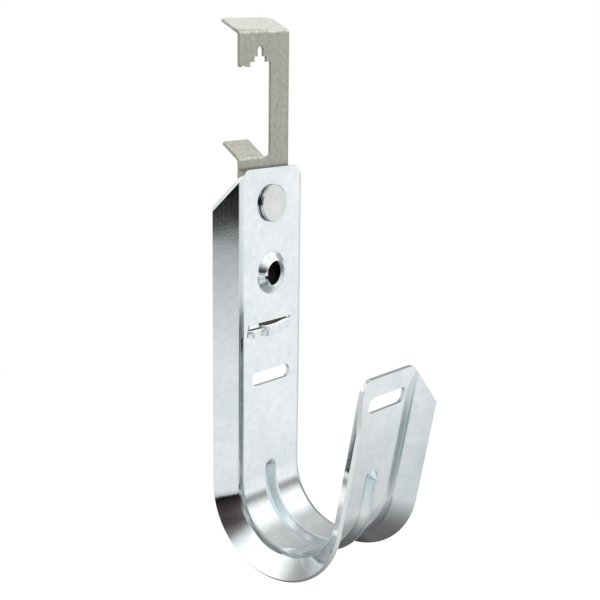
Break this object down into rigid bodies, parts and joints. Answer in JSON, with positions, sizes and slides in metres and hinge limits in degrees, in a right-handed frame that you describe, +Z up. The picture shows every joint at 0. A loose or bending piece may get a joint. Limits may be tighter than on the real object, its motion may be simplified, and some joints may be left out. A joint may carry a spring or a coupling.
{
  "type": "j hook cable support",
  "caption": "Folded steel J hook that cradles a bundle of data cables, with a flat spring clip riveted to its back to hang it from a rod, wire or edge.",
  "frame": {"origin": "on the axis of the fixing hole in the back of the strap, at the front rim of the pressed cone around it", "axes": "+Z up along the back of the strap, +Y towards the wall and the clip, so the hook opens up in front at -Y, and +X to the right as seen from the front"},
  "size_m": [0.037, 0.0528, 0.151],
  "materials": {
    "zinc_plate": "bright zinc plate",
    "clip_coat": "matte grey coat",
    "rivet_metal": "satin"
  },
  "bodies": {
    "root": {"hook_strap": "zinc_plate", "spring_clip": "clip_coat", "rivet": "rivet_metal"}
  },
  "joints": []
}
